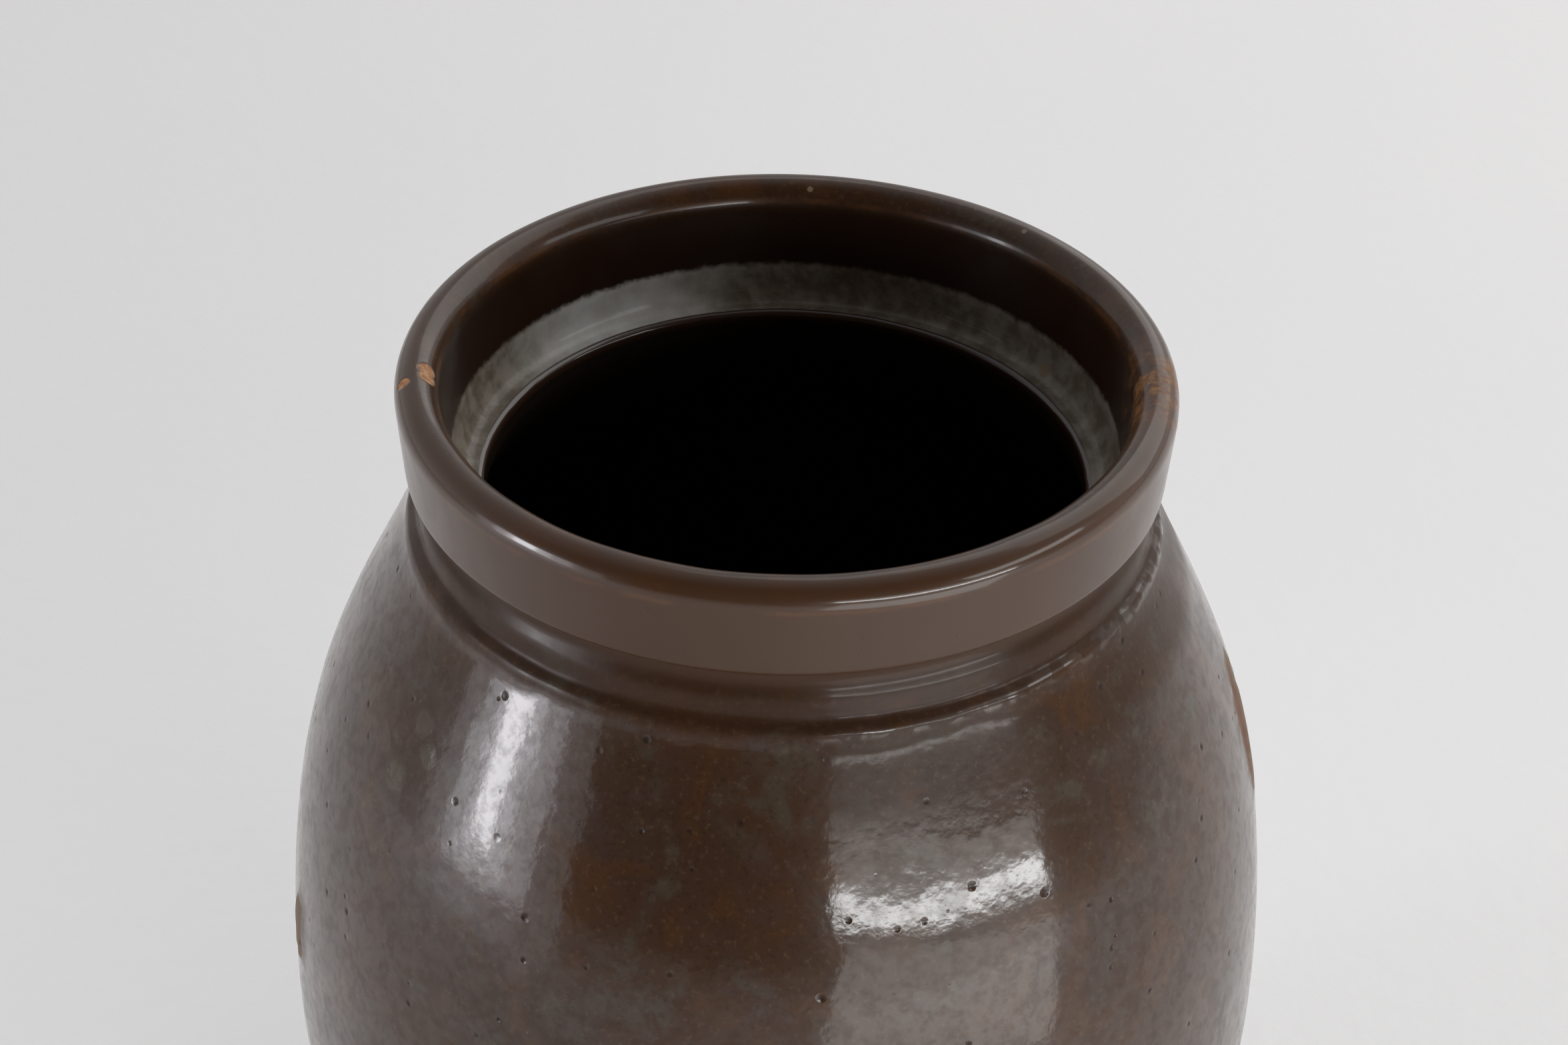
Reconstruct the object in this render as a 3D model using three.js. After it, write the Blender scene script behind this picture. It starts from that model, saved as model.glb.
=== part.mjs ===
// A brown-glazed stoneware butter crock: one thrown jar with a tall collar and a stepped mouth.
// Millimetres, +Z up. The origin is the centre of the flat base, and the jar's axis is Z.
import * as THREE from 'three';

// Overall sizes
const HEIGHT = 285;
const BASE_R = 72;
const BELLY_R = 101.5;
const BELLY_Z = 142;
const COLLAR_R = 75;
const FLOOR_Z = 10;
const BELLY_WALL = 7.2;
const SEGMENTS = 48;

// Lower body
const HEEL_ROUND = 3;
const LOWER_LEAN = 15;          // degrees from upright, where the wall leaves the heel
const LOWER_PULL = 45;          // length of the curve's handles, which sets how full it is

// Shoulder, from the belly up to the bead
const BEAD_Z = HEIGHT - 33;
const BEAD_R = 73.9;
const SHOULDER_LEAN = 9;
const SHOULDER_NECK_PULL = 22.4;
const SHOULDER_BELLY_PULL = 79.5;

// Bead, thin line and groove between shoulder and collar
const BEAD_ROUND = 0.9;
const LINE_Z = BEAD_Z + 2.1;
const LINE_R = BEAD_R - 2.1;
const STRIP_TOP_Z = HEIGHT - 26.4;
const STRIP_TOP_R = 71.2;
const GROOVE_Z = HEIGHT - 22.8;
const GROOVE_R = 70;
const COLLAR_FOOT_Z = HEIGHT - 19.6;
const COLLAR_FOOT_R = 73.7;

// Rim
const RIM_OUTER_ROUND_R = 4.1;
const RIM_OUTER_ROUND_Z = 4.5;
const RIM_CREST_R = COLLAR_R - RIM_OUTER_ROUND_R;
const RIM_INNER_ROUND_R = 4.5;
const RIM_INNER_ROUND_Z = 6;

// Lid recess, ledge and throat
const LEDGE_Z = HEIGHT - 25.4;
const RECESS_R = 64.4;          // where the recess wall runs into the cove
const COVE_R = 3.2;             // width of the cove
const COVE_Z = 7;               // height of the cove
const THROAT_R = 58.5;
const LIP_ROUND = 0.7;
const LIP_THICK = 5.6;

// Inside of the shoulder and floor
const INNER_NECK_HANDLE = new THREE.Vector2(63, HEIGHT - 47);
const INNER_BELLY_PULL = 78;
const FLOOR_EDGE_R = 54;
const FLOOR_CORNER = new THREE.Vector2(64, 20);
const FLOOR_ROUND_PULL = 3;

// Steps along a curve of the outline, by its length
const LONG_CURVE = 40;
const LONG_STEPS = 8;
const SHORT_STEPS = 3;

const GLAZE_BROWN = 0x4a3a31;

// A quarter ellipse from one angle to the other, in degrees anticlockwise from +R.
function round(path, centreR, centreZ, halfR, halfZ, fromDegrees, toDegrees) {
  const from = THREE.MathUtils.degToRad(fromDegrees);
  const to = THREE.MathUtils.degToRad(toDegrees);
  path.absellipse(centreR, centreZ, halfR, halfZ, from, to, toDegrees < fromDegrees);
}

// From the middle of the base, round the heel and up to the bead under the collar.
function drawBody(path) {
  const lean = Math.tan(THREE.MathUtils.degToRad(LOWER_LEAN));
  path.moveTo(0, 0);
  path.lineTo(BASE_R - HEEL_ROUND, 0);
  round(path, BASE_R - HEEL_ROUND, HEEL_ROUND, HEEL_ROUND, HEEL_ROUND, -90, 0);
  path.bezierCurveTo(
    BASE_R + LOWER_PULL * lean, HEEL_ROUND + LOWER_PULL,
    BELLY_R, BELLY_Z - LOWER_PULL,
    BELLY_R, BELLY_Z,
  );
  const shoulderLean = THREE.MathUtils.degToRad(SHOULDER_LEAN);
  path.bezierCurveTo(
    BELLY_R, BELLY_Z + SHOULDER_BELLY_PULL,
    BEAD_R + SHOULDER_NECK_PULL * Math.sin(shoulderLean),
    BEAD_Z - SHOULDER_NECK_PULL * Math.cos(shoulderLean),
    BEAD_R, BEAD_Z,
  );
}

// Over the bead, through the thin line and the groove, and up the collar to the crest of the rim.
function drawCollar(path) {
  round(path, BEAD_R - BEAD_ROUND, BEAD_Z, BEAD_ROUND, BEAD_ROUND, 0, 90);
  path.lineTo(LINE_R, LINE_Z);
  path.quadraticCurveTo(STRIP_TOP_R + 0.6, (LINE_Z + STRIP_TOP_Z) / 2, STRIP_TOP_R, STRIP_TOP_Z);
  path.quadraticCurveTo(GROOVE_R, GROOVE_Z - 2, GROOVE_R, GROOVE_Z);
  path.quadraticCurveTo(GROOVE_R, GROOVE_Z + 2.4, COLLAR_FOOT_R, COLLAR_FOOT_Z);
  path.lineTo(COLLAR_R, HEIGHT - RIM_OUTER_ROUND_Z);
  round(path, RIM_CREST_R, HEIGHT - RIM_OUTER_ROUND_Z, RIM_OUTER_ROUND_R, RIM_OUTER_ROUND_Z, 0, 90);
}

// Down inside the rim to the ledge that a lid sits on, and over its lip into the throat.
function drawRecess(path) {
  round(path, RIM_CREST_R, HEIGHT - RIM_INNER_ROUND_Z, RIM_INNER_ROUND_R, RIM_INNER_ROUND_Z, 90, 180);
  path.lineTo(RECESS_R, LEDGE_Z + COVE_Z);
  round(path, RECESS_R - COVE_R, LEDGE_Z + COVE_Z, COVE_R, COVE_Z, 0, -90);
  path.lineTo(THROAT_R + LIP_ROUND, LEDGE_Z);
  round(path, THROAT_R + LIP_ROUND, LEDGE_Z - LIP_ROUND, LIP_ROUND, LIP_ROUND, 90, 180);
  path.lineTo(THROAT_R, LEDGE_Z - LIP_THICK);
}

// Down the inside of the wall and across the floor to the axis.
function drawInside(path) {
  const innerBellyR = BELLY_R - BELLY_WALL;
  path.bezierCurveTo(
    INNER_NECK_HANDLE.x, INNER_NECK_HANDLE.y,
    innerBellyR, BELLY_Z + INNER_BELLY_PULL,
    innerBellyR, BELLY_Z,
  );
  const lean = Math.tan(THREE.MathUtils.degToRad(LOWER_LEAN));
  path.bezierCurveTo(
    innerBellyR, BELLY_Z - LOWER_PULL,
    FLOOR_CORNER.x + LOWER_PULL * lean, FLOOR_CORNER.y + LOWER_PULL,
    FLOOR_CORNER.x, FLOOR_CORNER.y,
  );
  path.quadraticCurveTo(FLOOR_CORNER.x - FLOOR_ROUND_PULL, FLOOR_Z, FLOOR_EDGE_R, FLOOR_Z);
  path.lineTo(0, FLOOR_Z);
}

// The outline's points: long stretches get more steps than the small rounds.
function outlinePoints(path) {
  const points = [];
  for (const curve of path.curves) {
    const curved = curve.getLength() > LONG_CURVE ? LONG_STEPS : SHORT_STEPS;
    const steps = curve.type === 'LineCurve' ? 1 : curved;
    for (const point of curve.getPoints(steps)) {
      const last = points[points.length - 1];
      if (!last || last.distanceTo(point) > 1e-4) points.push(point);
    }
  }
  return points;
}

function makeCrockBody() {
  const path = new THREE.Path();
  drawBody(path);
  drawCollar(path);
  drawRecess(path);
  drawInside(path);
  const geometry = new THREE.LatheGeometry(outlinePoints(path), SEGMENTS);
  geometry.rotateX(Math.PI / 2);
  const material = new THREE.MeshStandardMaterial({ color: GLAZE_BROWN, roughness: 0.25, metalness: 0 });
  const mesh = new THREE.Mesh(geometry, material);
  mesh.name = 'crock_body';
  return mesh;
}

const crock = new THREE.Group();
crock.add(makeCrockBody());

export default crock;
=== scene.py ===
"""A brown-glazed stoneware butter crock: one thrown jar with a tall collar and a stepped mouth.

The crock is one fine turned mesh with a hand-made surface, standing on a pale floor in soft light.
Sizes of the crock are in millimetres, in the frame of the CAD model, and become metres in one place.
"""

import math
from types import SimpleNamespace

import bpy
import numpy as np
from mathutils import Matrix, Vector, noise


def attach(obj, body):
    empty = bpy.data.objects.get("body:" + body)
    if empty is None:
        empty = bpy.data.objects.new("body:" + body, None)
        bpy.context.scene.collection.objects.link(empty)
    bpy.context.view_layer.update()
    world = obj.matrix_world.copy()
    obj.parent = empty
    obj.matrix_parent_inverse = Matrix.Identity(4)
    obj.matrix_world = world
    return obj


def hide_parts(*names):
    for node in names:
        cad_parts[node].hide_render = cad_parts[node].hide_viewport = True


MM = 0.001

# Overall sizes of the crock
HEIGHT = 285
BASE_R = 72
BELLY_R = 101.5
BELLY_Z = 142
COLLAR_R = 75
FLOOR_Z = 10
BELLY_WALL = 7.2

# The fine mesh: points round the axis, and the step along the outline that it is thinned from
SEGMENTS = 300
FINE_STEP = 0.2

# Gaps between the rings of the mesh
COLLAR_GAP = 0.65
MOUTH_GAP = 0.8
BODY_GAP = 1.9
HIDDEN_GAP = 6
ON_THE_FLOOR = 0.01

# How widely the glaze rounds off the neck's corners, how far the shoulder swells under the bead,
# and how quickly the swelling starts there
GLAZE_FILL = 0.65
NECK_FULLNESS = 0.9
NECK_SWELL_START = 3.5

# Lower body and shoulder
HEEL_ROUND = 3
LOWER_LEAN = math.radians(15)
LOWER_PULL = 45
BEAD_Z = HEIGHT - 33
BEAD_R = 73.9
SHOULDER_LEAN = math.radians(9)
SHOULDER_NECK_PULL = 22.4
SHOULDER_BELLY_PULL = 79.5

# Bead, thin line and groove between shoulder and collar
BEAD_ROUND = 0.9
LINE_Z = BEAD_Z + 2.1
LINE_R = BEAD_R - 2.1
STRIP_TOP_Z = HEIGHT - 26.4
STRIP_TOP_R = 71.2
GROOVE_Z = HEIGHT - 22.8
GROOVE_R = 70
COLLAR_FOOT_Z = HEIGHT - 19.6
COLLAR_FOOT_R = 73.7

# Rim
RIM_OUTER_R, RIM_OUTER_Z = 4.1, 4.5
RIM_CREST_R = COLLAR_R - RIM_OUTER_R
RIM_INNER_R, RIM_INNER_Z = 4.5, 6

# Lid recess, ledge and throat
LEDGE_Z = HEIGHT - 25.4
RECESS_R = 64.4
COVE_R, COVE_Z = 3.2, 7
THROAT_R = 58.5
LIP_ROUND = 0.7
LIP_THICK = 5.6

# Inside of the shoulder and floor
INNER_NECK_HANDLE = (63, HEIGHT - 47)
INNER_BELLY_PULL = 78
FLOOR_EDGE_R = 54
FLOOR_CORNER = (64, 20)
FLOOR_ROUND_PULL = 3

# Camera and room, in metres
RIM_TO_CAMERA = 0.6726
CAMERA_ELEVATION = math.radians(32.5)
CAMERA_PITCH = math.radians(35.15)
CAMERA_ROLL = math.radians(1.22)
LENS = 50
SENSOR_WIDTH = 22.3
FLOOR_SIZE = 12

# The room's light, dark in front and bright behind, and where it turns, as a share of straight back
ROOM_FRONT = (0.050, 0.032, 0.022, 1.0)
ROOM_BACK = (0.75, 0.75, 0.76, 1.0)
ROOM_TURN_START = -0.50
ROOM_TURN_END = 0.42

# Glowing panels: name, azimuth, elevation, distance, width, height, radiance, tint and tilt.
# A window on each side with its blind or curtain, and softer light from high up and from behind.
PANELS = [
    ("window_right", 37.5, 4.4, 1.3, 1.18, 0.065, 20.0, (0.96, 0.99, 1.0), -9),
    ("window_right_blind", 37.5, 7.0, 1.32, 1.20, 0.23, 2.8, (1.0, 0.97, 0.94), -9),
    ("window_right_sill", 34, -10.5, 0.45, 0.375, 0.17, 2.3, (1.0, 0.97, 0.94), -11),
    ("window_left", -70, 7, 1.3, 0.17, 0.34, 11.0, (0.97, 0.97, 1.0), 0),
    ("window_left_blind", -69, 6, 1.32, 0.33, 0.40, 3.4, (0.93, 0.92, 1.0), 0),
    ("window_left_curtain", -68, 5, 1.34, 0.60, 0.50, 2.6, (0.95, 0.94, 1.0), 0),
    ("wall_left", -67, 2, 1.35, 1.0, 0.5, 1.0, (0.98, 0.96, 1.0), 0),
    ("window_high", 68, 21, 1.5, 0.95, 0.30, 4.0, (1.0, 1.0, 1.0), 0),
    ("sky_right", 140, 38, 2.2, 2.5, 2.0, 1.7, (1.0, 0.99, 0.97), 0),
]
PANELS_FACE = (0, 0, 0.2)


# ---------------------------------------------------------------- outline

def cubic(a, b, c, d, step):
    """Points along a cubic curve, evenly spaced in its parameter, about step apart."""
    length = math.dist(a, b) + math.dist(b, c) + math.dist(c, d)
    t = np.linspace(0, 1, max(3, round(length / step)))[:, None]
    a, b, c, d = map(np.array, (a, b, c, d))
    return (1 - t) ** 3 * a + 3 * (1 - t) ** 2 * t * b + 3 * (1 - t) * t ** 2 * c + t ** 3 * d


def bend(a, b, c, step):
    """Points along a quadratic curve."""
    a, b, c = map(np.array, (a, b, c))
    return cubic(a, a + (b - a) * 2 / 3, c + (b - c) * 2 / 3, c, step)


def line(a, b, step):
    count = max(2, round(math.dist(a, b) / step) + 1)
    return np.linspace(a, b, count)


def arc(centre, half_r, half_z, start, end, steps):
    """A stretch of an ellipse, in degrees anticlockwise from the side away from the axis."""
    t = np.radians(np.linspace(start, end, steps + 1))
    return np.column_stack((centre[0] + half_r * np.cos(t), centre[1] + half_z * np.sin(t)))


def body_stretches():
    """From the middle of the base, round the heel and up to the bead."""
    lean = math.tan(LOWER_LEAN)
    heel_top = (BASE_R, HEEL_ROUND)
    belly = (BELLY_R, BELLY_Z)
    neck_handle = (BEAD_R + SHOULDER_NECK_PULL * math.sin(SHOULDER_LEAN),
                   BEAD_Z - SHOULDER_NECK_PULL * math.cos(SHOULDER_LEAN))
    return [
        line((0, 0), (BASE_R - HEEL_ROUND, 0), 7),
        arc((BASE_R - HEEL_ROUND, HEEL_ROUND), HEEL_ROUND, HEEL_ROUND, -90, 0, 6),
        cubic(heel_top, (BASE_R + LOWER_PULL * lean, HEEL_ROUND + LOWER_PULL),
              (BELLY_R, BELLY_Z - LOWER_PULL), belly, 2.1),
        cubic(belly, (BELLY_R, BELLY_Z + SHOULDER_BELLY_PULL), neck_handle, (BEAD_R, BEAD_Z), 1.7),
    ]


def collar_stretches():
    """Over the bead, through the thin line and the groove, and up the collar to the crest."""
    strip_middle = (STRIP_TOP_R + 0.6, (LINE_Z + STRIP_TOP_Z) / 2)
    return [
        arc((BEAD_R - BEAD_ROUND, BEAD_Z), BEAD_ROUND, BEAD_ROUND, 0, 90, 5),
        line((BEAD_R - BEAD_ROUND, BEAD_Z + BEAD_ROUND), (LINE_R, LINE_Z), 0.5),
        bend((LINE_R, LINE_Z), strip_middle, (STRIP_TOP_R, STRIP_TOP_Z), 0.6),
        bend((STRIP_TOP_R, STRIP_TOP_Z), (GROOVE_R, GROOVE_Z - 2), (GROOVE_R, GROOVE_Z), 0.5),
        bend((GROOVE_R, GROOVE_Z), (GROOVE_R, GROOVE_Z + 2.4), (COLLAR_FOOT_R, COLLAR_FOOT_Z), 0.5),
        line((COLLAR_FOOT_R, COLLAR_FOOT_Z), (COLLAR_R, HEIGHT - RIM_OUTER_Z), 1),
        arc((RIM_CREST_R, HEIGHT - RIM_OUTER_Z), RIM_OUTER_R, RIM_OUTER_Z, 0, 90, 10),
    ]


def mouth_stretches():
    """Down inside the rim to the ledge that a lid sits on, and over its lip into the throat."""
    cove_centre = (RECESS_R - COVE_R, LEDGE_Z + COVE_Z)
    return [
        arc((RIM_CREST_R, HEIGHT - RIM_INNER_Z), RIM_INNER_R, RIM_INNER_Z, 90, 180, 10),
        line((RIM_CREST_R - RIM_INNER_R, HEIGHT - RIM_INNER_Z), (RECESS_R, LEDGE_Z + COVE_Z), 1.2),
        arc(cove_centre, COVE_R, COVE_Z, 0, -90, 12),
        line((RECESS_R - COVE_R, LEDGE_Z), (THROAT_R + LIP_ROUND, LEDGE_Z), 0.5),
        arc((THROAT_R + LIP_ROUND, LEDGE_Z - LIP_ROUND), LIP_ROUND, LIP_ROUND, 90, 180, 4),
        line((THROAT_R, LEDGE_Z - LIP_ROUND), (THROAT_R, LEDGE_Z - LIP_THICK), 1.2),
    ]


def inner_stretches():
    """Down the inside of the wall and across the floor to the axis."""
    inner_belly = BELLY_R - BELLY_WALL
    lean = math.tan(LOWER_LEAN)
    corner_r, corner_z = FLOOR_CORNER
    return [
        cubic((THROAT_R, LEDGE_Z - LIP_THICK), INNER_NECK_HANDLE,
              (inner_belly, BELLY_Z + INNER_BELLY_PULL), (inner_belly, BELLY_Z), 5),
        cubic((inner_belly, BELLY_Z), (inner_belly, BELLY_Z - LOWER_PULL),
              (corner_r + LOWER_PULL * lean, corner_z + LOWER_PULL), FLOOR_CORNER, 6),
        bend(FLOOR_CORNER, (corner_r - FLOOR_ROUND_PULL, FLOOR_Z), (FLOOR_EDGE_R, FLOOR_Z), 3),
        line((FLOOR_EDGE_R, FLOOR_Z), (0, FLOOR_Z), 9),
    ]


def join(stretches):
    """One run of points from several that share their ends."""
    points = [stretches[0][0]]
    for stretch in stretches:
        points.extend(stretch[1:])
    return np.array(points)


def even(points, step):
    """The same run of points, evenly spaced along its length."""
    along = np.append(0, np.cumsum(np.linalg.norm(np.diff(points, axis=0), axis=1)))
    places = np.linspace(0, along[-1], round(along[-1] / step))
    return np.column_stack([np.interp(places, along, points[:, k]) for k in (0, 1)])


def soften(points, step, width):
    """Rounds off the corners of evenly spaced points, as a thick glaze does."""
    reach = round(3 * width / step)
    weights = np.exp(-0.5 * (np.arange(-reach, reach + 1) * step / width) ** 2)
    padded = np.pad(points, ((reach, reach), (0, 0)), mode="reflect", reflect_type="odd")
    weights /= weights.sum()
    return np.column_stack([np.convolve(padded[:, k], weights, "valid") for k in (0, 1)])


def ring_gap(z, inside):
    """How far apart the mesh's rings are: fine at the collar and mouth, coarse where nothing shows."""
    if inside:
        return MOUTH_GAP if z > LEDGE_Z - LIP_THICK else HIDDEN_GAP
    if z < ON_THE_FLOOR:
        return HIDDEN_GAP
    return BODY_GAP if z < BEAD_Z - 8 else COLLAR_GAP


def neck_swell(z):
    """The shoulder swells out quickly under the bead, and eases back into the plain curve."""
    if z > BEAD_Z:
        return 0.0
    under_bead = 1 - math.exp((z - BEAD_Z) / NECK_SWELL_START)
    short_of_bead = 1 - ease(BEAD_Z - 30, BEAD_Z, z) ** 8
    return under_bead * short_of_bead * ease(BEAD_Z - 34, BEAD_Z - 6, z)


def crock_outline():
    """Points (radius, height) from base to floor, and the index where they turn inward."""
    outside = even(join(body_stretches() + collar_stretches()), FINE_STEP)
    filled = soften(outside, FINE_STEP, GLAZE_FILL)
    share = np.array([band(z, BEAD_Z - 8, COLLAR_FOOT_Z - 1, 3) for z in outside[:, 1]])[:, None]
    outside += (filled - outside) * share
    outside[:, 0] += [NECK_FULLNESS * neck_swell(z) for z in outside[:, 1]]
    inner = even(join(mouth_stretches() + inner_stretches()), FINE_STEP)
    kept = [outside[0]]
    for r, z in outside[1:-1]:
        if math.dist(kept[-1], (r, z)) >= ring_gap(z, False):
            kept.append((r, z))
    crest = len(kept)
    for r, z in inner[:-1]:
        if math.dist(kept[-1], (r, z)) >= ring_gap(z, True):
            kept.append((r, z))
    kept.append(inner[-1])
    return np.array(kept), crest


# ---------------------------------------------------------------- surface

def ease(edge_low, edge_high, value):
    """0 below edge_low, 1 above edge_high, and a smooth step between them."""
    t = min(1.0, max(0.0, (value - edge_low) / (edge_high - edge_low)))
    return t * t * (3 - 2 * t)


def band(value, low, high, soft):
    """1 between low and high, falling to 0 over soft outside them."""
    return ease(low - soft, low, value) * (1 - ease(high, high + soft, value))


def wobble(point, size, seed):
    """Smooth noise from -1 to 1 with lumps about size across."""
    return noise.noise(point / size + Vector((seed * 17.3, seed * 5.9, seed * 11.1)))


# Kiln scars, as (angle in degrees anticlockwise from +X, height, half width, half height)
RIGHT_SCAR = (-2.5, 204, 8.0, 17.0)
LEFT_SCAR = (-165.0, 163, 5.5, 11.0)
SCAR_BORDER = 0.3
SCAR_DEPTH = 0.8
SCAR_PROUD = 0.7

# Unevenness of the surface: the height and width of its lumps, in millimetres
SWELLS = (0.35, 70)
LUMPS = (0.12, 17)
DIMPLES = (0.03, 6)
BEAD_WAVES = (0.16, 11)
BEAD_RIPPLES = (0.12, 4)
INNER_LUMPS = (0.12, 12)
LIP_NICKS = (0.35, 2.5)

# Rings that the potter's fingers left inside: their height, and the width of one ring over two pi
THROWING_HEIGHT = 0.25
THROWING_WIDTH = 1.9


def scar_reach(point, scar):
    """0 in the middle of a scar and 1 at its ragged edge."""
    angle, height, half_width, half_height = scar
    turn = (math.degrees(math.atan2(point.y, point.x)) - angle + 180) % 360 - 180
    across = math.radians(turn) * math.hypot(point.x, point.y)
    ragged = 0.30 * wobble(point, 7, 3) + 0.16 * wobble(point, 2.5, 12)
    return math.hypot(across / half_width, (point.z - height) / half_height) + ragged


def scar_height(point):
    """Two places where the crock touched its neighbours in the kiln: one torn out, one left proud."""
    torn = scar_reach(point, RIGHT_SCAR)
    proud = scar_reach(point, LEFT_SCAR)
    border = SCAR_BORDER * band(torn, 0.86, 1.0, 0.2)
    hollow = SCAR_DEPTH * (1 - ease(0.6, 0.86, torn))
    bulge = SCAR_PROUD * (1 - ease(0.55, 1.0, proud))
    return border - hollow + bulge


def scar_colour(point):
    """1 on bare torn clay, 0.5 on the pale broken edge round it, 0 on glaze."""
    torn = scar_reach(point, RIGHT_SCAR)
    proud = scar_reach(point, LEFT_SCAR)
    bare = 1 - ease(0.74, 0.84, torn)
    edge = max(band(torn, 0.84, 0.98, 0.07), 1 - ease(0.7, 0.85, proud))
    return max(bare, 0.5 * edge)


def lump(point, lumps, seed):
    """Smooth unevenness, from lumps as (height, width)."""
    height, width = lumps
    return height * wobble(point, width, seed)


def inside_height(point):
    """Throwing rings below the neck, and small nicks in the lip of the ledge."""
    r = math.hypot(point.x, point.y)
    z = point.z
    ring = math.sin(z / THROWING_WIDTH + 0.4 * wobble(point, 40, 8))
    throwing = THROWING_HEIGHT * ring * (1 - ease(225, 240, z))
    lip = band(z, LEDGE_Z - 3, LEDGE_Z + 0.5, 1) * (1 - ease(THROAT_R + 1, THROAT_R + 3, r))
    nick_height, nick_width = LIP_NICKS
    nicks = nick_height * lip * max(0.0, wobble(point, nick_width, 9) - 0.25)
    return throwing - nicks + lump(point, INNER_LUMPS, 10)


def outside_height(point):
    """Slow swells, lumps and dimples, less of them on the collar, and a wavy bead."""
    collar = ease(BEAD_Z - 2, COLLAR_FOOT_Z, point.z)
    height = lump(point, SWELLS, 1) * (1 - 0.6 * collar)
    height += lump(point, LUMPS, 2) * (1 - 0.8 * collar)
    height += lump(point, DIMPLES, 5) * (1 - 0.85 * collar)
    bead = band(point.z, BEAD_Z - 2, LINE_Z, 2)
    return height + bead * (lump(point, BEAD_WAVES, 6) + lump(point, BEAD_RIPPLES, 7))


def surface_height(point, inside):
    """How far the real surface stands off the turned shape, in millimetres. The base stays flat."""
    off_base = ease(0.0, 12.0, point.z)
    if inside:
        return off_base * inside_height(point)
    return off_base * outside_height(point) + scar_height(point)


def crock_points(outline, crest):
    """The mesh's points ring by ring, then the base's middle and the floor's, with each one's values."""
    tangent = np.gradient(outline, axis=0)
    tangent /= np.linalg.norm(tangent, axis=1)[:, None]
    angles = np.linspace(0, 2 * math.pi, SEGMENTS, endpoint=False)
    points = []
    insides = []
    scars = []
    for index in range(1, len(outline) - 1):
        r, z = outline[index]
        out_r, out_z = tangent[index][1], -tangent[index][0]
        inside = index >= crest
        for angle in angles:
            around_axis = Vector((math.cos(angle), math.sin(angle), 0))
            flat = around_axis * r + Vector((0, 0, z))
            lift = surface_height(flat, inside)
            points.append((flat + around_axis * out_r * lift + Vector((0, 0, out_z * lift))) * MM)
            insides.append(float(inside))
            scars.append(0.0 if inside else scar_colour(flat))
    points += [Vector((0, 0, 0)), Vector((0, 0, FLOOR_Z * MM))]
    insides += [0.0, 1.0]
    scars += [0.0, 0.0]
    return points, insides, scars


def crock_faces(rings):
    """Squares between the rings, and a fan of triangles that closes each end."""
    bottom = rings * SEGMENTS
    floor = bottom + 1
    faces = []
    for ring in range(rings - 1):
        low, high = ring * SEGMENTS, (ring + 1) * SEGMENTS
        for k in range(SEGMENTS):
            n = (k + 1) % SEGMENTS
            faces.append((low + k, low + n, high + n, high + k))
    last = (rings - 1) * SEGMENTS
    for k in range(SEGMENTS):
        n = (k + 1) % SEGMENTS
        faces.append((bottom, n, k))
        faces.append((floor, last + k, last + n))
    return faces


def crock_mesh():
    """The crock's fine mesh. Each point knows if it is inside, and how much of a scar is on it."""
    outline, crest = crock_outline()
    points, insides, scars = crock_points(outline, crest)
    mesh = bpy.data.meshes.new("stoneware_crock")
    mesh.from_pydata(points, [], crock_faces(len(outline) - 2))
    mesh.polygons.foreach_set("use_smooth", [True] * len(mesh.polygons))
    for name, values in (("inside", insides), ("scar", scars)):
        mesh.attributes.new(name, "FLOAT", "POINT").data.foreach_set("value", values)
    mesh.update()
    return mesh


# ---------------------------------------------------------------- shader nodes

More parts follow.
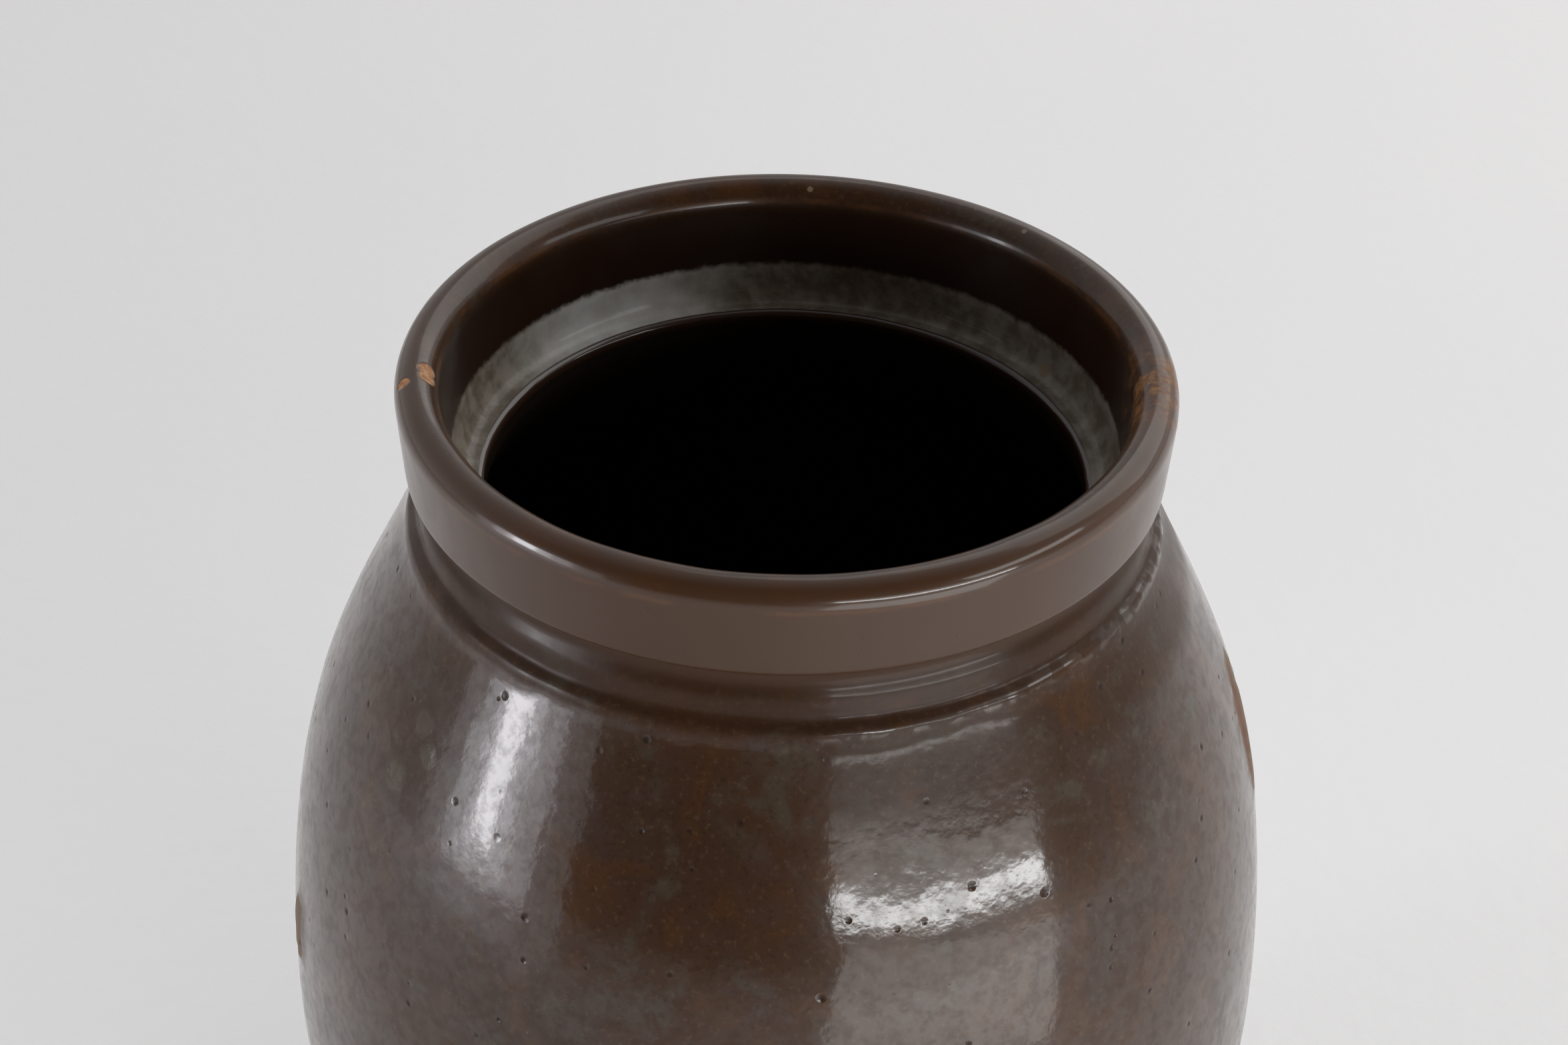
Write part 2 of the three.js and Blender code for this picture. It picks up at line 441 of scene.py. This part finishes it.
class Shader:
    """Short names for building one material's nodes."""

    def __init__(self, name):
        self.material = bpy.data.materials.new(name)
        self.material.use_nodes = True
        self.tree = self.material.node_tree
        self.principled = self.tree.nodes["Principled BSDF"]

    def node(self, kind, **settings):
        made = self.tree.nodes.new(kind)
        for key, value in settings.items():
            setattr(made, key, value)
        return made

    def feed(self, socket, value):
        if isinstance(value, bpy.types.NodeSocket):
            self.tree.links.new(value, socket)
        else:
            socket.default_value = value

    def math(self, operation, a, b=0.0):
        made = self.node("ShaderNodeMath", operation=operation)
        self.feed(made.inputs[0], a)
        self.feed(made.inputs[1], b)
        return made.outputs[0]

    def step(self, value, low, high):
        """0 at low, 1 at high, smooth between. High may be below low."""
        made = self.node("ShaderNodeMapRange", interpolation_type="SMOOTHSTEP")
        flip = high < low
        self.feed(made.inputs["Value"], value)
        self.feed(made.inputs["From Min"], min(low, high))
        self.feed(made.inputs["From Max"], max(low, high))
        self.feed(made.inputs["To Min"], 1.0 if flip else 0.0)
        self.feed(made.inputs["To Max"], 0.0 if flip else 1.0)
        return made.outputs["Result"]

    def scale(self, value, low, high):
        """Maps 0..1 to low..high."""
        made = self.node("ShaderNodeMapRange")
        self.feed(made.inputs["Value"], value)
        self.feed(made.inputs["To Min"], low)
        self.feed(made.inputs["To Max"], high)
        return made.outputs["Result"]

    def times(self, *values):
        result = values[0]
        for value in values[1:]:
            result = self.math("MULTIPLY", result, value)
        return result

    def plus(self, *values):
        result = values[0]
        for value in values[1:]:
            result = self.math("ADD", result, value)
        return result

    def most(self, *values):
        result = values[0]
        for value in values[1:]:
            result = self.math("MAXIMUM", result, value)
        return result

    def mix(self, amount, a, b):
        """Colour a where amount is 0, colour b where it is 1."""
        made = self.node("ShaderNodeMix", data_type="RGBA")
        colours = [socket for socket in made.inputs if socket.type == "RGBA"]
        self.feed(made.inputs["Factor"], amount)
        self.feed(colours[0], a)
        self.feed(colours[1], b)
        return [socket for socket in made.outputs if socket.type == "RGBA"][0]

    def without(self, value):
        """1 less the value."""
        return self.math("SUBTRACT", 1.0, value)

    def spread(self, noise, amount):
        """Noise about 0.5, turned into a shift about 0."""
        return self.times(self.math("SUBTRACT", noise, 0.5), amount)

    def mix_value(self, amount, a, b):
        """Value a where amount is 0, value b where it is 1."""
        return self.plus(self.times(a, self.without(amount)), self.times(b, amount))

    def noise(self, point, size, detail=2.0, rough=0.5, distort=0.0):
        """Noise about 0.5, with lumps about size millimetres across."""
        made = self.node("ShaderNodeTexNoise")
        self.feed(made.inputs["Vector"], point)
        self.feed(made.inputs["Scale"], 1.0 / size)
        self.feed(made.inputs["Detail"], detail)
        self.feed(made.inputs["Roughness"], rough)
        self.feed(made.inputs["Distortion"], distort)
        return made.outputs["Fac"]

    def shift(self, point, offset):
        made = self.node("ShaderNodeVectorMath", operation="ADD")
        self.feed(made.inputs[0], point)
        self.feed(made.inputs[1], offset)
        return made.outputs[0]

    def stretch(self, point, factors):
        made = self.node("ShaderNodeVectorMath", operation="MULTIPLY")
        self.feed(made.inputs[0], point)
        self.feed(made.inputs[1], factors)
        return made.outputs[0]

    def distance(self, point, place):
        made = self.node("ShaderNodeVectorMath", operation="DISTANCE")
        self.feed(made.inputs[0], point)
        self.feed(made.inputs[1], place)
        return made.outputs["Value"]


def rgb(red, green, blue):
    return (red, green, blue, 1.0)


# Colours of the glaze, linear, with painted shade for the groove, the throat and the pits, and a painted
# sheen for the ledge
DARK_BROWN = rgb(0.042, 0.0190, 0.0086)
COOL_BROWN = rgb(0.036, 0.0178, 0.0095)
OCHRE = rgb(0.058, 0.0250, 0.0085)
GREY_GREEN = rgb(0.046, 0.035, 0.023)
PURPLE = rgb(0.045, 0.025, 0.021)
PALE_SPECK = rgb(0.080, 0.048, 0.027)
DARK_SPECK = rgb(0.018, 0.009, 0.005)
COLLAR_BROWN = rgb(0.048, 0.0225, 0.0105)
COLLAR_TAN = rgb(0.055, 0.0270, 0.0145)
# Painted shade: darker brown in the groove under the collar, where the collar's shadow falls
GROOVE_SHADE_BROWN = rgb(0.030, 0.013, 0.006)
RIM_RED = rgb(0.070, 0.028, 0.011)
EDGE_LINE_BROWN = rgb(0.105, 0.045, 0.017)
RECESS_BROWN = rgb(0.018, 0.0078, 0.0040)
LEDGE_DARK = rgb(0.105, 0.086, 0.062)
LEDGE_PALE = rgb(0.185, 0.162, 0.132)
# Painted sheen: the pale colour that stands for light caught on the ledge at the back left
PAINTED_LEDGE_SHEEN = rgb(0.460, 0.460, 0.445)
LIP_BROWN = rgb(0.030, 0.014, 0.008)
# Painted shade: near-black for the inside of the crock below the ledge, where little light reaches
THROAT_SHADE_BLACK = rgb(0.011, 0.0075, 0.0055)
DRIP_TAN = rgb(0.075, 0.060, 0.036)
# Painted shade: near-black inside the pits' small craters
PIT_SHADE_BLACK = rgb(0.008, 0.005, 0.004)

# Colours of bare and broken clay, linear
WORN_RED = rgb(0.16, 0.062, 0.030)
WORN_ORANGE = rgb(0.30, 0.150, 0.050)
CHIP_DARK = rgb(0.26, 0.120, 0.055)
CHIP_PALE = rgb(0.42, 0.235, 0.12)
NICK_TAN = rgb(0.19, 0.150, 0.095)
SCAR_EDGE = rgb(0.21, 0.155, 0.11)
SCAR_RED = rgb(0.13, 0.062, 0.045)
SCAR_PALE = rgb(0.22, 0.130, 0.100)
BASE_DARK = rgb(0.30, 0.20, 0.12)
BASE_PALE = rgb(0.40, 0.30, 0.20)

# Weight of the glassy coat on each part. The outer round and the crest change the collar's.
BODY_COAT = 0.54
BODY_COAT_PATCHES = 0.26
COLLAR_COAT = 0.52
OUTER_ROUND_COAT = 0.18
CREST_COAT = -0.22
INNER_ROUND_COAT = 0.28
LIP_COAT = 0.7

# How much of the coat is missing from each part, from 0 to 1
NECK_DULL = 0.85
ABOVE_BEAD_DULL = 0.88
RECESS_DULL = 0.6
BEAD_DULL = 0.85
LEDGE_DULL = 0.75
THROAT_DULL = 0.8
PIT_DULL = 0.9
WORN_DULL = 0.8

# Roughness of the glaze under its coat, and of bare clay
ROUGH_GLAZE = 0.38
SMOOTH_GLAZE = 0.28
BARE_ROUGHNESS = 0.6
COAT_ROUGHNESS = 0.10
SPECULAR = 0.17
GLAZE_IOR = 1.45
COAT_IOR = 1.5

# Colours of the floor, linear
FLOOR_GREY = rgb(0.80, 0.80, 0.81)
FLOOR_PALE = rgb(0.84, 0.84, 0.84)

# Relief and the distance between pits, in millimetres
GRAIN_HEIGHT = 0.011
PEEL_HEIGHT = 0.030
LUMP_HEIGHT = 0.065
LEDGE_RING_HEIGHT = 0.03
PIT_DEPTH = 0.12
PIT_SPACING = 4.6
CHIP_DEPTH = 0.3
DRIP_HEIGHT = 0.05


def on_crock(angle, r, z):
    """A point in millimetres at an angle in degrees anticlockwise from +X."""
    turned = math.radians(angle)
    return (r * math.cos(turned), r * math.sin(turned), z)


# Marks, as a place on the crock and a half width in millimetres
CHIPS = [
    (on_crock(-173.9, 68.5, 284.0), 1.9),
    (on_crock(-176.0, 68.6, 284.1), 1.9),
    (on_crock(-172.2, 73.1, 284.0), 1.5),
]
NICKS = [
    (on_crock(86.7, 68.1, 283.7), 0.6),
    (on_crock(47.0, 69.6, 284.7), 0.55),
    (on_crock(34.1, 63.0, 261.1), 1.5),
    (on_crock(-118.0, 97.2, 190.0), 0.5),
]
DRIPS = [
    (on_crock(-145.7, 87.6, 221.5), 2.6),
    (on_crock(-141.7, 84.0, 228.5), 2.0),
    (on_crock(-144.3, 82.0, 232.2), 2.4),
]
WORN_RIM = (on_crock(-4.0, 70.0, 284.6), 11.0)
# Where the painted sheen lies on the ledge, at the back left, as a place and a half width
LEDGE_SHEEN_SPOT = (on_crock(126.0, 62.0, 262.0), 20.0)


def blob(s, point, spot, ragged, soft=0.35, unevenness=0.8):
    """1 inside a ragged spot, given as its place and half width."""
    place, size = spot
    reach = s.math("DIVIDE", s.distance(point, place), size)
    reach = s.plus(reach, s.spread(ragged, unevenness))
    return s.step(reach, 1.0 + soft / 2, 1.0 - soft / 2)


def blobs(s, point, spots, ragged, soft=0.35, unevenness=0.8):
    """1 inside any of several ragged spots."""
    result = 0.0
    for spot in spots:
        result = s.most(result, blob(s, point, spot, ragged, soft, unevenness))
    return result


def pit_mask(s, point, ragged, where):
    """Burst bubbles in the glaze: small ragged craters, in loose groups."""
    cells = s.node("ShaderNodeTexVoronoi", feature="F1")
    s.feed(cells.inputs["Vector"], s.shift(point, (0.3, 0.7, 0.1)))
    s.feed(cells.inputs["Scale"], 1 / PIT_SPACING)
    chance = s.node("ShaderNodeSeparateColor")
    s.feed(chance.inputs[0], cells.outputs["Color"])
    group = s.noise(s.shift(point, (61, 23, 77)), 22, 1)
    kept = s.step(s.plus(chance.outputs[0], s.times(group, 0.8)), 1.05, 1.12)
    width = s.plus(0.10, s.times(chance.outputs[1], 0.10))
    reach = s.math("DIVIDE", s.plus(cells.outputs["Distance"], s.spread(ragged, 0.10)), width)
    return s.times(s.step(reach, 1.3, 0.2), kept, where)


def read_place(s):
    """Where a point is on the crock, in millimetres, and the noises that vary the glaze there."""
    object_point = s.node("ShaderNodeTexCoord").outputs["Object"]
    point = s.stretch(object_point, (1 / MM,) * 3)
    split = s.node("ShaderNodeSeparateXYZ")
    s.feed(split.inputs[0], point)
    x, y, z = split.outputs
    inside = s.node("ShaderNodeAttribute", attribute_name="inside").outputs["Fac"]
    return SimpleNamespace(
        point=point, x=x, z=z,
        radius=s.math("SQRT", s.plus(s.times(x, x), s.times(y, y))),
        inside=inside,
        outside=s.without(inside),
        scar=s.node("ShaderNodeAttribute", attribute_name="scar").outputs["Fac"],
        large=s.noise(point, 38, 2),
        medium=s.noise(s.shift(point, (31, 7, 3)), 13, 3, 0.55, 0.6),
        small=s.noise(s.shift(point, (5, 71, 9)), 4.5, 3, 0.6),
        fine=s.noise(s.shift(point, (3, 1, 47)), 1.1, 2, 0.6),
        ragged=s.noise(s.shift(point, (91, 17, 3)), 2.4, 3, 0.65),
    )


def edge_line(s, at):
    """A thin line under the rim's outer round, broken in places, where the glaze ran thin."""
    height = s.plus(at.z, s.spread(at.small, 1.2), s.times(at.outside, 1.4))
    line = s.times(s.step(height, HEIGHT - 4.3, HEIGHT - 3.7), s.step(height, HEIGHT - 2.7, HEIGHT - 3.3))
    return s.times(line, s.step(at.medium, 0.36, 0.56))


def find_parts(s, at):
    """Masks of the crock's parts: 1 on the part, 0 off it."""
    z = at.z
    cove_top = LEDGE_Z + COVE_Z
    uneven_z = s.plus(z, s.spread(at.ragged, 2.0))
    above_lip = s.step(z, LEDGE_Z - 1.4, LEDGE_Z - 0.4)
    below_groove_top = s.step(z, COLLAR_FOOT_Z + 0.5, GROOVE_Z + 0.5)
    near_throat = s.step(at.radius, THROAT_R + 1.6, THROAT_R + 1.0)
    return SimpleNamespace(
        body=s.times(at.outside, s.step(z, BEAD_Z + 1, BEAD_Z - 3)),
        bead=s.times(at.outside, s.step(z, BEAD_Z - 2.5, BEAD_Z - 1), s.step(z, LINE_Z + 1, LINE_Z)),
        above_bead=s.times(at.outside, s.step(z, BEAD_Z + 0.9, LINE_Z)),
        groove=s.times(at.outside, s.step(z, BEAD_Z, LINE_Z), below_groove_top),
        collar=s.times(at.outside, s.step(z, STRIP_TOP_Z, GROOVE_Z)),
        rim_top=s.step(z, HEIGHT - 5, HEIGHT - 2),
        edge_line=edge_line(s, at),
        recess=s.times(at.inside, s.step(uneven_z, cove_top + 0.6, cove_top + 1.6),
                       s.step(z, HEIGHT - 2, HEIGHT - 7)),
        ledge=s.times(at.inside, s.step(uneven_z, cove_top + 1.9, cove_top + 0.3), above_lip),
        lip=s.times(at.inside, near_throat, s.step(z, LEDGE_Z - 2.5, LEDGE_Z - 1.5)),
        throat=s.times(at.inside, s.step(z, LEDGE_Z - 0.4, LEDGE_Z - 1.4)),
        base=s.times(at.outside, s.step(z, 2.5, 1.0)),
    )


def find_marks(s, at, parts):
    """Masks of the marks that firing and use left on the glaze."""
    worn_patches = s.step(s.noise(s.shift(at.point, (2, 9, 4)), 5.5, 3, 0.6), 0.36, 0.62)
    return SimpleNamespace(
        drips=blobs(s, at.point, DRIPS, at.ragged, 0.9, 1.3),
        worn=s.times(blob(s, at.point, WORN_RIM, at.small, 1.2), worn_patches),
        chips=blobs(s, at.point, CHIPS, at.ragged, 0.4, 0.12),
        nicks=blobs(s, at.point, NICKS, at.fine),
        broken=s.step(at.scar, 0.08, 0.45),
        pits=pit_mask(s, at.point, at.ragged, parts.body),
    )


def body_colour(s, at):
    """Mottled brown, with ochre, grey-green and purple patches and two kinds of specks."""
    brown = s.mix(s.step(at.large, 0.36, 0.64), DARK_BROWN, COOL_BROWN)
    brown = s.mix(s.times(s.step(at.medium, 0.5, 0.68), 0.7), brown, OCHRE)
    grey_green = s.times(s.step(at.medium, 0.47, 0.33), s.step(at.small, 0.36, 0.60), 0.8)
    brown = s.mix(grey_green, brown, GREY_GREEN)
    purple = s.noise(s.shift(at.point, (7, 53, 29)), 9, 3, 0.6)
    brown = s.mix(s.times(s.step(purple, 0.54, 0.68), 0.35), brown, PURPLE)
    brown = s.mix(s.times(s.step(at.fine, 0.57, 0.72), 0.5), brown, PALE_SPECK)
    return s.mix(s.times(s.step(at.fine, 0.43, 0.30), 0.5), brown, DARK_SPECK)


def ledge_colour(s, at):
    """Grey-brown, with a paler spot at the back left that is a painted sheen, where light catches the
    ledge.
    """
    grey = s.mix(s.step(at.small, 0.35, 0.65), LEDGE_DARK, LEDGE_PALE)
    # Painted sheen: a pale spot in the colour, where the ledge catches light at the back left
    painted_sheen = s.times(blob(s, at.point, LEDGE_SHEEN_SPOT, at.medium, 1.4), s.scale(at.small, 0.5, 1.1))
    return s.mix(painted_sheen, grey, PAINTED_LEDGE_SHEEN)


def glaze_colour(s, at, parts):
    """The colour of the glaze on every part, before its marks, with painted shade in the groove and the
    throat.
    """
    collar_colour = s.mix(s.step(at.large, 0.3, 0.7), COLLAR_BROWN, COLLAR_TAN)
    colour = s.mix(parts.collar, body_colour(s, at), collar_colour)
    # Painted shade: the groove under the collar is darkened
    colour = s.mix(s.times(parts.groove, 0.45), colour, GROOVE_SHADE_BROWN)
    reddish = s.times(parts.rim_top, s.step(at.medium, 0.46, 0.68), 0.3)
    colour = s.mix(reddish, colour, RIM_RED)
    colour = s.mix(parts.recess, colour, RECESS_BROWN)
    colour = s.mix(parts.ledge, colour, ledge_colour(s, at))
    # Painted shade: the inside below the ledge is made near-black
    colour = s.mix(parts.throat, colour, THROAT_SHADE_BLACK)
    colour = s.mix(parts.lip, colour, LIP_BROWN)
    return s.mix(s.times(parts.edge_line, 0.45), colour, EDGE_LINE_BROWN)


def marked_colour(s, at, parts, marks, colour):
    """The glaze's colour with its drips, wear, chips, scars and pits, and the bare base. The pits are
    darkened with painted shade.
    """
    colour = s.mix(s.times(marks.drips, 0.6), colour, DRIP_TAN)
    worn_colour = s.mix(s.step(at.fine, 0.4, 0.65), WORN_RED, WORN_ORANGE)
    colour = s.mix(s.times(marks.worn, 0.7), colour, worn_colour)
    colour = s.mix(marks.chips, colour, s.mix(s.step(at.fine, 0.35, 0.65), CHIP_DARK, CHIP_PALE))
    colour = s.mix(s.times(marks.nicks, 0.8), colour, NICK_TAN)
    torn_clay = s.mix(at.small, SCAR_RED, SCAR_PALE)
    scar_clay = s.mix(s.step(at.scar, 0.55, 0.8), SCAR_EDGE, torn_clay)
    colour = s.mix(s.times(marks.broken, 0.7), colour, scar_clay)
    colour = s.mix(parts.base, colour, s.mix(at.small, BASE_DARK, BASE_PALE))
    # Painted shade: the pits are darkened inside
    return s.mix(s.times(marks.pits, 0.7), colour, PIT_SHADE_BLACK)


def coat_weight(s, at, parts, marks, matte):
    """How much glassy coat there is: patchy on the body, less on the neck, and none on bare clay."""
    z = at.z
    patch = s.step(s.plus(s.times(at.ragged, 0.55), s.times(at.small, 0.45)), 0.40, 0.56)
    coat = s.plus(s.times(patch, BODY_COAT_PATCHES), BODY_COAT)
    neck_right = s.times(at.outside, s.step(z, BEAD_Z - 19, BEAD_Z - 12),
                         s.step(z, BEAD_Z - 0.6, BEAD_Z - 2), s.step(at.x, -4, 12))
    neck = s.most(s.times(neck_right, NECK_DULL), s.times(parts.above_bead, ABOVE_BEAD_DULL))
    coat = s.times(coat, s.without(neck))
    coat = s.times(coat, s.without(s.times(parts.recess, RECESS_DULL)))
    outer_round = s.times(s.step(z, HEIGHT - 5.5, HEIGHT - 4), s.step(z, HEIGHT - 1.0, HEIGHT - 2.5))
    crest = s.step(z, HEIGHT - 1.8, HEIGHT - 0.4)
    collar_coat = s.plus(COLLAR_COAT, s.times(outer_round, OUTER_ROUND_COAT), s.times(crest, CREST_COAT))
    on_collar = s.times(parts.collar, s.step(z, COLLAR_FOOT_Z - 2, COLLAR_FOOT_Z + 2))
    coat = s.mix_value(on_collar, coat, collar_coat)
    coat = s.mix_value(s.times(at.inside, s.step(z, HEIGHT - 9, HEIGHT - 6)), coat, INNER_ROUND_COAT)
    dashes = s.step(s.noise(s.shift(at.point, (8, 8, 2)), 3.0, 1), 0.56, 0.46)
    dull_bead = s.times(parts.bead, s.most(dashes, s.step(at.x, 5, -10)))
    coat = s.times(coat, s.without(s.times(dull_bead, BEAD_DULL)))
    bare = s.most(matte, s.times(marks.pits, PIT_DULL), s.times(parts.throat, THROAT_DULL))
    return s.most(s.times(coat, s.without(bare)), s.times(parts.lip, LIP_COAT))


def set_gloss(s, at, parts, marks):
    """A fairly rough glaze under a thin glassy coat."""
    matte = s.most(s.times(parts.ledge, LEDGE_DULL), marks.chips, marks.nicks, parts.base,
                   s.times(marks.worn, WORN_DULL), marks.broken)
    uneven = s.scale(s.step(at.medium, 0.3, 0.7), ROUGH_GLAZE, SMOOTH_GLAZE)
    roughness = s.plus(uneven, s.spread(at.small, 0.1))
    s.feed(s.principled.inputs["Roughness"], s.most(roughness, s.times(matte, BARE_ROUGHNESS)))
    s.feed(s.principled.inputs["Coat Weight"], coat_weight(s, at, parts, marks, matte))
    s.principled.inputs["Specular IOR Level"].default_value = SPECULAR
    s.principled.inputs["Coat Roughness"].default_value = COAT_ROUGHNESS
    s.principled.inputs["IOR"].default_value = GLAZE_IOR
    s.principled.inputs["Coat IOR"].default_value = COAT_IOR


def set_relief(s, at, parts, marks):
    """Grain, orange peel, lumps, rings on the ledge, pits, chips and drips."""
    grain = s.times(at.fine, GRAIN_HEIGHT)
    peel = s.times(s.noise(s.shift(at.point, (1, 2, 3)), 2.6, 2, 0.5), PEEL_HEIGHT)
    lumps = s.times(s.noise(s.shift(at.point, (11, 5, 8)), 6.5, 2, 0.5), LUMP_HEIGHT)
    relief = s.times(s.plus(grain, peel, lumps), s.plus(0.25, s.times(parts.body, 0.75)))
    rings = s.noise(s.stretch(s.shift(at.point, (7, 7, 7)), (0.05, 0.05, 1.6)), 1.0, 2, 0.5)
    relief = s.plus(relief, s.times(rings, parts.ledge, LEDGE_RING_HEIGHT))
    relief = s.math("SUBTRACT", relief, s.times(marks.pits, PIT_DEPTH))
    relief = s.math("SUBTRACT", relief, s.times(marks.chips, CHIP_DEPTH))
    relief = s.plus(relief, s.times(marks.drips, DRIP_HEIGHT))
    bump = s.node("ShaderNodeBump")
    s.feed(bump.inputs["Strength"], 1.0)
    s.feed(bump.inputs["Distance"], MM)
    s.feed(bump.inputs["Height"], relief)
    s.feed(s.principled.inputs["Normal"], bump.outputs["Normal"])
    s.feed(s.principled.inputs["Coat Normal"], bump.outputs["Normal"])


def glaze_material():
    s = Shader("brown_stoneware_glaze")
    at = read_place(s)
    parts = find_parts(s, at)
    marks = find_marks(s, at, parts)
    colour = marked_colour(s, at, parts, marks, glaze_colour(s, at, parts))
    s.feed(s.principled.inputs["Base Color"], colour)
    set_gloss(s, at, parts, marks)
    set_relief(s, at, parts, marks)
    return s.material


def floor_material():
    s = Shader("pale_floor")
    point = s.stretch(s.node("ShaderNodeTexCoord").outputs["Object"], (1 / MM,) * 3)
    cloud = s.noise(point, 260, 3, 0.5)
    s.feed(s.principled.inputs["Base Color"], s.mix(cloud, FLOOR_GREY, FLOOR_PALE))
    s.principled.inputs["Roughness"].default_value = 0.9
    s.principled.inputs["Specular IOR Level"].default_value = 0.2
    bump = s.node("ShaderNodeBump")
    s.feed(bump.inputs["Distance"], MM)
    s.feed(bump.inputs["Height"], s.times(s.noise(point, 9, 3, 0.6), 0.3))
    s.feed(s.principled.inputs["Normal"], bump.outputs["Normal"])
    return s.material


# ---------------------------------------------------------------- room

def make_crock():
    mesh = crock_mesh()
    crock = bpy.data.objects.new("stoneware_crock", mesh)
    bpy.context.scene.collection.objects.link(crock)
    mesh.materials.append(glaze_material())
    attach(crock, "root")
    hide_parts("crock_body")


def make_floor():
    half = FLOOR_SIZE / 2
    mesh = bpy.data.meshes.new("floor")
    corners = [(-half, -half, 0), (half, -half, 0), (half, half, 0), (-half, half, 0)]
    mesh.from_pydata(corners, [], [(0, 1, 2, 3)])
    floor = bpy.data.objects.new("floor", mesh)
    bpy.context.scene.collection.objects.link(floor)
    mesh.materials.append(floor_material())


def toward(azimuth, elevation):
    """A direction: azimuth in degrees from the front (-Y) towards +X, elevation above the horizon."""
    a, e = math.radians(azimuth), math.radians(elevation)
    return Vector((math.sin(a) * math.cos(e), -math.cos(a) * math.cos(e), math.sin(e)))


def softbox(name, azimuth, elevation, distance, width, height, radiance, tint, tilt):
    """A glowing panel that faces the crock's shoulder. It shows in the glaze but not to the camera."""
    direction = toward(azimuth, elevation)
    light = bpy.data.lights.new(name, "AREA")
    light.shape = "RECTANGLE"
    light.size = width
    light.size_y = height
    light.energy = radiance * math.pi * width * height
    light.color = tint
    panel = bpy.data.objects.new(name, light)
    bpy.context.scene.collection.objects.link(panel)
    place = Matrix.Translation(Vector(PANELS_FACE) + direction * distance)
    turn = direction.to_track_quat("Z", "Y").to_matrix().to_4x4()
    panel.matrix_world = place @ turn @ Matrix.Rotation(math.radians(tilt), 4, "Z")
    panel.visible_camera = False


def room_glow():
    """The light from all round: dark in front of the crock, bright behind it."""
    world = bpy.data.worlds.new("room")
    bpy.context.scene.world = world
    world.use_nodes = True
    tree = world.node_tree
    coordinates = tree.nodes.new("ShaderNodeTexCoord")
    split = tree.nodes.new("ShaderNodeSeparateXYZ")
    tree.links.new(coordinates.outputs["Generated"], split.inputs[0])
    depth = tree.nodes.new("ShaderNodeMapRange")
    depth.interpolation_type = "SMOOTHSTEP"
    depth.inputs["From Min"].default_value = ROOM_TURN_START
    depth.inputs["From Max"].default_value = ROOM_TURN_END
    tree.links.new(split.outputs["Y"], depth.inputs["Value"])
    shade = tree.nodes.new("ShaderNodeMix")
    shade.data_type = "RGBA"
    tree.links.new(depth.outputs["Result"], shade.inputs["Factor"])
    ends = [socket for socket in shade.inputs if socket.type == "RGBA"]
    ends[0].default_value = ROOM_FRONT
    ends[1].default_value = ROOM_BACK
    shaded = [socket for socket in shade.outputs if socket.type == "RGBA"][0]
    tree.links.new(shaded, tree.nodes["Background"].inputs["Color"])


def light_room():
    for panel in PANELS:
        softbox(*panel)
    room_glow()


def make_camera():
    camera_data = bpy.data.cameras.new("camera")
    camera_data.lens = LENS
    camera_data.sensor_width = SENSOR_WIDTH
    camera = bpy.data.objects.new("camera", camera_data)
    bpy.context.scene.collection.objects.link(camera)
    place = Vector((0, 0, HEIGHT * MM)) + toward(0, math.degrees(CAMERA_ELEVATION)) * RIM_TO_CAMERA
    look = Matrix.Rotation(math.pi / 2 - CAMERA_PITCH, 4, "X")
    camera.matrix_world = Matrix.Translation(place) @ look @ Matrix.Rotation(CAMERA_ROLL, 4, "Z")
    bpy.context.scene.camera = camera


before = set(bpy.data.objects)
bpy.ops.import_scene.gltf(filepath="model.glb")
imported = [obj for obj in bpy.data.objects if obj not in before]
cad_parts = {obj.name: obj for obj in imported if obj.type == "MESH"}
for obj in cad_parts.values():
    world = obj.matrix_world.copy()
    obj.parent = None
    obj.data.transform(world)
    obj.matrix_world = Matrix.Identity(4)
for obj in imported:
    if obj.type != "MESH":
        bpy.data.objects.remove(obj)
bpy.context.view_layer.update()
make_crock()
make_floor()
light_room()
make_camera()
bpy.context.scene.view_settings.view_transform = "Standard"
